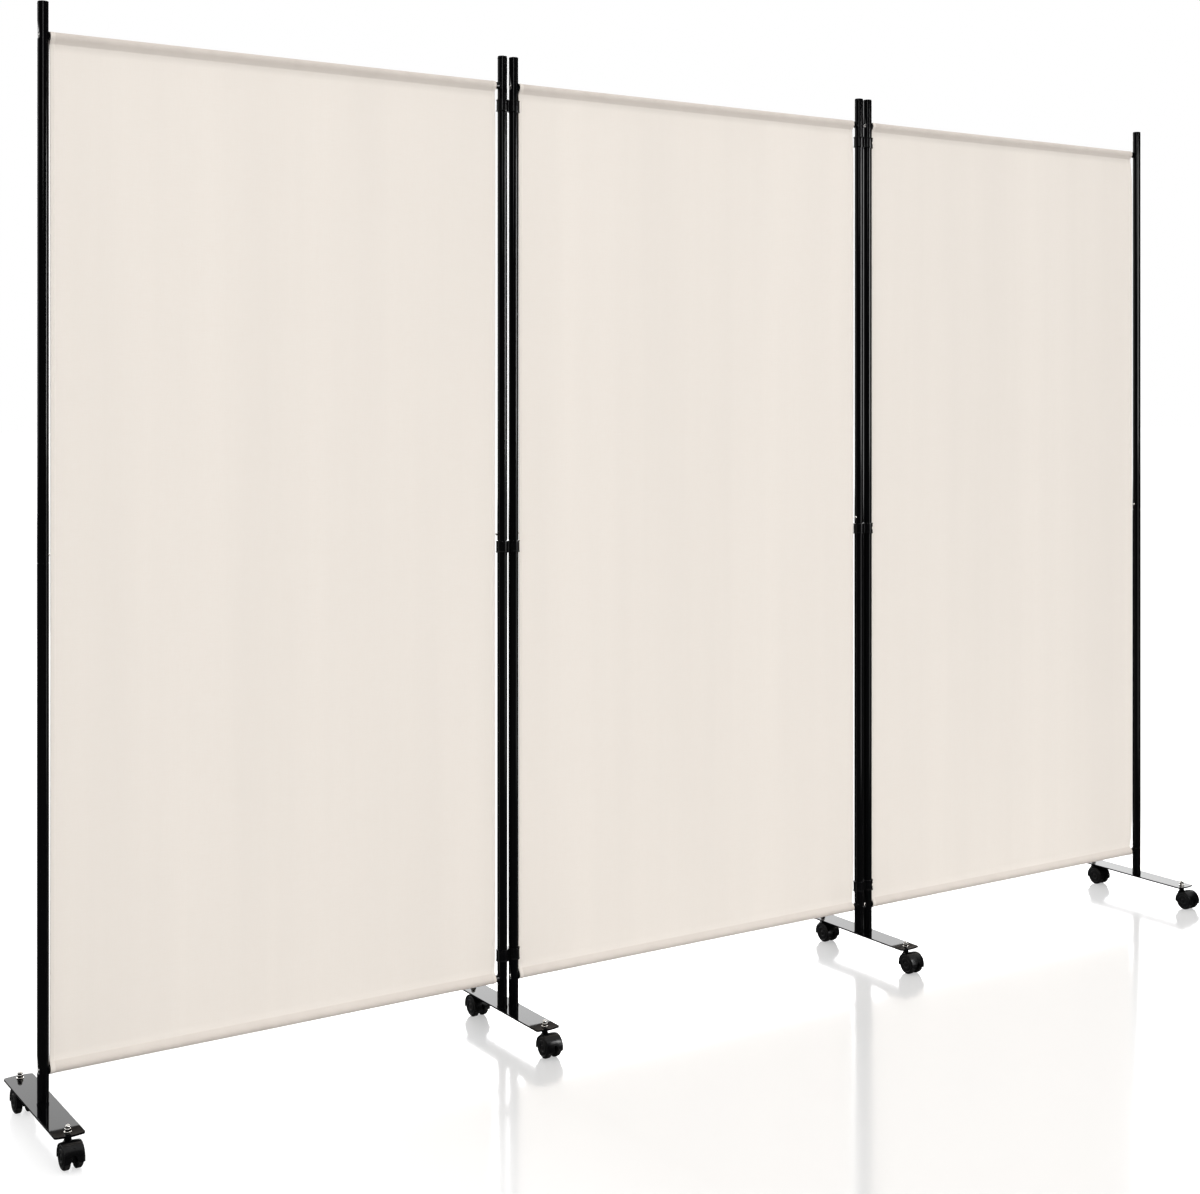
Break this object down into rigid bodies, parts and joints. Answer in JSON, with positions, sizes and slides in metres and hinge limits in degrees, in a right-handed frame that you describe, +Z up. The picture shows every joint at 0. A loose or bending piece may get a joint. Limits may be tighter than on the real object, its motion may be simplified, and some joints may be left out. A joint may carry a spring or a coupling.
{
  "type": "folding ward privacy screen on casters",
  "caption": "Folding privacy screen: fabric panels stretched between round steel posts, hinged in pairs by clips over turning base plates on twin-wheel casters.",
  "frame": {"origin": "on the floor, at the middle of the screen's footprint", "axes": "+X along the three panels from the left one to the right one, +Y towards the back, +Z up; the casters trail towards -Y, the front"},
  "size_m": [2.622, 0.316, 1.803],
  "materials": {
    "post_paint": "gloss black powder coat",
    "plate_paint": "mirror gloss black lacquer",
    "clip_plastic": "moulded black, satin",
    "hood_plastic": "moulded black nylon, satin",
    "wheel_plastic": "moulded black nylon, dull",
    "nickel_plating": "bright nickel plate",
    "cream_cloth": "matt cream plain-weave polyester"
  },
  "bodies": {
    "middle_panel": {"post_3_lower": "post_paint", "post_3_upper": "post_paint", "post_4_lower": "post_paint", "post_4_upper": "post_paint", "middle_top_crossbar": "post_paint", "middle_bottom_crossbar": "post_paint", "middle_fabric": "cream_cloth"},
    "left_panel": {"post_1_lower": "post_paint", "post_1_upper": "post_paint", "post_2_lower": "post_paint", "post_2_upper": "post_paint", "left_top_crossbar": "post_paint", "left_bottom_crossbar": "post_paint", "left_fabric": "cream_cloth"},
    "right_panel": {"post_5_lower": "post_paint", "post_5_upper": "post_paint", "post_6_lower": "post_paint", "post_6_upper": "post_paint", "right_top_crossbar": "post_paint", "right_bottom_crossbar": "post_paint", "right_fabric": "cream_cloth"},
    "base_1": {"base_plate_1": "plate_paint", "caster_1_front_stem": "nickel_plating", "caster_1_rear_stem": "nickel_plating"},
    "base_2": {"base_plate_2": "plate_paint", "caster_2_front_stem": "nickel_plating", "caster_2_rear_stem": "nickel_plating", "left_clip_top": "clip_plastic", "left_clip_middle": "clip_plastic", "left_clip_bottom": "clip_plastic"},
    "base_3": {"base_plate_3": "plate_paint", "caster_3_front_stem": "nickel_plating", "caster_3_rear_stem": "nickel_plating", "right_clip_top": "clip_plastic", "right_clip_middle": "clip_plastic", "right_clip_bottom": "clip_plastic"},
    "base_4": {"base_plate_4": "plate_paint", "caster_4_front_stem": "nickel_plating", "caster_4_rear_stem": "nickel_plating"},
    "fork_1_front": {"caster_1_front_hood": "hood_plastic"},
    "fork_1_rear": {"caster_1_rear_hood": "hood_plastic"},
    "fork_2_front": {"caster_2_front_hood": "hood_plastic"},
    "fork_2_rear": {"caster_2_rear_hood": "hood_plastic"},
    "fork_3_front": {"caster_3_front_hood": "hood_plastic"},
    "fork_3_rear": {"caster_3_rear_hood": "hood_plastic"},
    "fork_4_front": {"caster_4_front_hood": "hood_plastic"},
    "fork_4_rear": {"caster_4_rear_hood": "hood_plastic"},
    "wheels_1_front": {"caster_1_front_wheels": "wheel_plastic"},
    "wheels_1_rear": {"caster_1_rear_wheels": "wheel_plastic"},
    "wheels_2_front": {"caster_2_front_wheels": "wheel_plastic"},
    "wheels_2_rear": {"caster_2_rear_wheels": "wheel_plastic"},
    "wheels_3_front": {"caster_3_front_wheels": "wheel_plastic"},
    "wheels_3_rear": {"caster_3_rear_wheels": "wheel_plastic"},
    "wheels_4_front": {"caster_4_front_wheels": "wheel_plastic"},
    "wheels_4_rear": {"caster_4_rear_wheels": "wheel_plastic"}
  },
  "joints": [
    {"name": "left_base_fold", "type": "hinge", "parent": "middle_panel", "child": "base_2", "pos_m": [-0.421, 0.011, 0.05], "axis": [0, 0, 1], "range_deg": [-78, 78]},
    {"name": "left_panel_fold", "type": "hinge", "parent": "base_2", "child": "left_panel", "pos_m": [-0.445, 0.011, 0.05], "axis": [0, 0, 1], "range_deg": [-78, 78]},
    {"name": "left_end_base_turn", "type": "hinge", "parent": "left_panel", "child": "base_1", "pos_m": [-1.287, 0.011, 0.05], "axis": [0, 0, 1], "range_deg": [-90, 90]},
    {"name": "right_base_fold", "type": "hinge", "parent": "middle_panel", "child": "base_3", "pos_m": [0.421, 0.011, 0.05], "axis": [0, 0, 1], "range_deg": [-78, 78]},
    {"name": "right_panel_fold", "type": "hinge", "parent": "base_3", "child": "right_panel", "pos_m": [0.445, 0.011, 0.05], "axis": [0, 0, 1], "range_deg": [-78, 78]},
    {"name": "right_end_base_turn", "type": "hinge", "parent": "right_panel", "child": "base_4", "pos_m": [1.287, 0.011, 0.05], "axis": [0, 0, 1], "range_deg": [-90, 90]},
    {"name": "swivel_1_front", "type": "hinge", "parent": "base_1", "child": "fork_1_front", "pos_m": [-1.287, -0.12, 0.047], "axis": [0, 0, 1], "continuous": true},
    {"name": "swivel_1_rear", "type": "hinge", "parent": "base_1", "child": "fork_1_rear", "pos_m": [-1.287, 0.142, 0.047], "axis": [0, 0, 1], "continuous": true},
    {"name": "swivel_2_front", "type": "hinge", "parent": "base_2", "child": "fork_2_front", "pos_m": [-0.433, -0.12, 0.047], "axis": [0, 0, 1], "continuous": true},
    {"name": "swivel_2_rear", "type": "hinge", "parent": "base_2", "child": "fork_2_rear", "pos_m": [-0.433, 0.142, 0.047], "axis": [0, 0, 1], "continuous": true},
    {"name": "swivel_3_front", "type": "hinge", "parent": "base_3", "child": "fork_3_front", "pos_m": [0.433, -0.12, 0.047], "axis": [0, 0, 1], "continuous": true},
    {"name": "swivel_3_rear", "type": "hinge", "parent": "base_3", "child": "fork_3_rear", "pos_m": [0.433, 0.142, 0.047], "axis": [0, 0, 1], "continuous": true},
    {"name": "swivel_4_front", "type": "hinge", "parent": "base_4", "child": "fork_4_front", "pos_m": [1.287, -0.12, 0.047], "axis": [0, 0, 1], "continuous": true},
    {"name": "swivel_4_rear", "type": "hinge", "parent": "base_4", "child": "fork_4_rear", "pos_m": [1.287, 0.142, 0.047], "axis": [0, 0, 1], "continuous": true},
    {"name": "axle_1_front", "type": "hinge", "parent": "fork_1_front", "child": "wheels_1_front", "pos_m": [-1.287, -0.136, 0.02], "axis": [1, 0, 0], "continuous": true},
    {"name": "axle_1_rear", "type": "hinge", "parent": "fork_1_rear", "child": "wheels_1_rear", "pos_m": [-1.287, 0.126, 0.02], "axis": [1, 0, 0], "continuous": true},
    {"name": "axle_2_front", "type": "hinge", "parent": "fork_2_front", "child": "wheels_2_front", "pos_m": [-0.433, -0.136, 0.02], "axis": [1, 0, 0], "continuous": true},
    {"name": "axle_2_rear", "type": "hinge", "parent": "fork_2_rear", "child": "wheels_2_rear", "pos_m": [-0.433, 0.126, 0.02], "axis": [1, 0, 0], "continuous": true},
    {"name": "axle_3_front", "type": "hinge", "parent": "fork_3_front", "child": "wheels_3_front", "pos_m": [0.433, -0.136, 0.02], "axis": [1, 0, 0], "continuous": true},
    {"name": "axle_3_rear", "type": "hinge", "parent": "fork_3_rear", "child": "wheels_3_rear", "pos_m": [0.433, 0.126, 0.02], "axis": [1, 0, 0], "continuous": true},
    {"name": "axle_4_front", "type": "hinge", "parent": "fork_4_front", "child": "wheels_4_front", "pos_m": [1.287, -0.136, 0.02], "axis": [1, 0, 0], "continuous": true},
    {"name": "axle_4_rear", "type": "hinge", "parent": "fork_4_rear", "child": "wheels_4_rear", "pos_m": [1.287, 0.126, 0.02], "axis": [1, 0, 0], "continuous": true}
  ]
}
